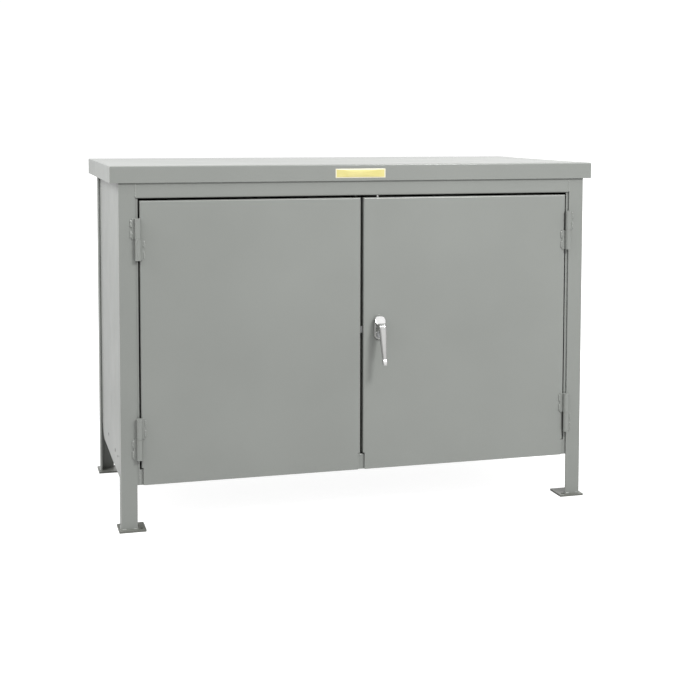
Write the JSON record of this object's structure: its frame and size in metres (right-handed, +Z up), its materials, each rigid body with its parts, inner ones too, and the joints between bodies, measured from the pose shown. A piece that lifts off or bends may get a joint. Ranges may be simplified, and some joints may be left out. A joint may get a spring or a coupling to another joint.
{
  "type": "cabinet workbench",
  "caption": "Steel workbench with an enclosed cabinet: flanged top, angle-iron legs on foot pads, hinged doors and a lockable lever latch with bolt and lock rods.",
  "frame": {"origin": "on the floor, at the centre of the four anchor holes", "axes": "+X to the right of someone facing the doors, +Y to the back, +Z up"},
  "size_m": [1.2192, 0.6595, 0.8636],
  "materials": {
    "paint": "gloss powder coat",
    "post_paint": "gloss powder coat",
    "door_paint": "gloss powder coat",
    "handle_chrome": "bright plated",
    "lock_metal": "satin plated",
    "plated_steel": "zinc plated"
  },
  "bodies": {
    "frame": {"bench_top": "paint", "top_stiffener": "paint", "front_right_post": "post_paint", "front_left_post": "post_paint", "rear_right_post": "post_paint", "rear_left_post": "post_paint", "front_right_foot_pad": "post_paint", "front_left_foot_pad": "post_paint", "rear_right_foot_pad": "post_paint", "rear_left_foot_pad": "post_paint", "header_rail": "paint", "right_side_panel": "paint", "left_side_panel": "paint", "back_panel": "paint", "bottom_shelf": "paint", "middle_shelf": "paint", "right_shelf_support": "paint", "left_shelf_support": "paint", "door_stop_tab": "paint", "right_hinge_post_halves": "post_paint", "left_hinge_post_halves": "post_paint", "hinge_pins": "plated_steel"},
    "left_door": {"left_door": "door_paint", "left_door_channel": "door_paint", "left_hinge_door_halves": "post_paint"},
    "right_door": {"right_door": "door_paint", "right_door_channel": "door_paint", "right_hinge_door_halves": "post_paint", "handle_escutcheon": "handle_chrome", "escutcheon_screws": "plated_steel", "bolt_guide": "plated_steel", "rod_guides": "plated_steel"},
    "handle": {"door_handle": "handle_chrome", "latch_cam": "plated_steel", "spindle_nut": "plated_steel"},
    "key": {"key_cylinder": "lock_metal"},
    "bolt": {"latch_bolt": "plated_steel"},
    "upper_rod": {"upper_lock_rod": "plated_steel"},
    "lower_rod": {"lower_lock_rod": "plated_steel"}
  },
  "joints": [
    {"name": "left_door_swing", "type": "hinge", "parent": "frame", "child": "left_door", "pos_m": [-0.5461, -0.2964, 0.47], "axis": [0, 0, -1], "range_deg": [0, 180]},
    {"name": "right_door_swing", "type": "hinge", "parent": "frame", "child": "right_door", "pos_m": [0.5461, -0.2964, 0.47], "axis": [0, 0, 1], "range_deg": [0, 180]},
    {"name": "handle_turn", "type": "hinge", "parent": "right_door", "child": "handle", "pos_m": [0.0434, -0.28955, 0.4745], "axis": [0, -1, 0], "range_deg": [0, 90]},
    {"name": "key_turn", "type": "hinge", "parent": "right_door", "child": "key", "pos_m": [0.0434, -0.28955, 0.4435], "axis": [0, -1, 0], "range_deg": [0, 90]},
    {"name": "bolt_slide", "type": "slide", "parent": "right_door", "child": "bolt", "axis": [-1, 0, 0], "range_m": [0, 0.01415]},
    {"name": "upper_rod_slide", "type": "slide", "parent": "right_door", "child": "upper_rod", "axis": [0, 0, 1], "range_m": [0, 0.01415]},
    {"name": "lower_rod_slide", "type": "slide", "parent": "right_door", "child": "lower_rod", "axis": [0, 0, -1], "range_m": [0, 0.01415]}
  ],
  "couplings": [
    {"joint": "bolt_slide", "follows": "handle_turn", "m_per_rad": 0.0090031},
    {"joint": "upper_rod_slide", "follows": "handle_turn", "m_per_rad": 0.0090031},
    {"joint": "lower_rod_slide", "follows": "handle_turn", "m_per_rad": 0.0090031}
  ]
}
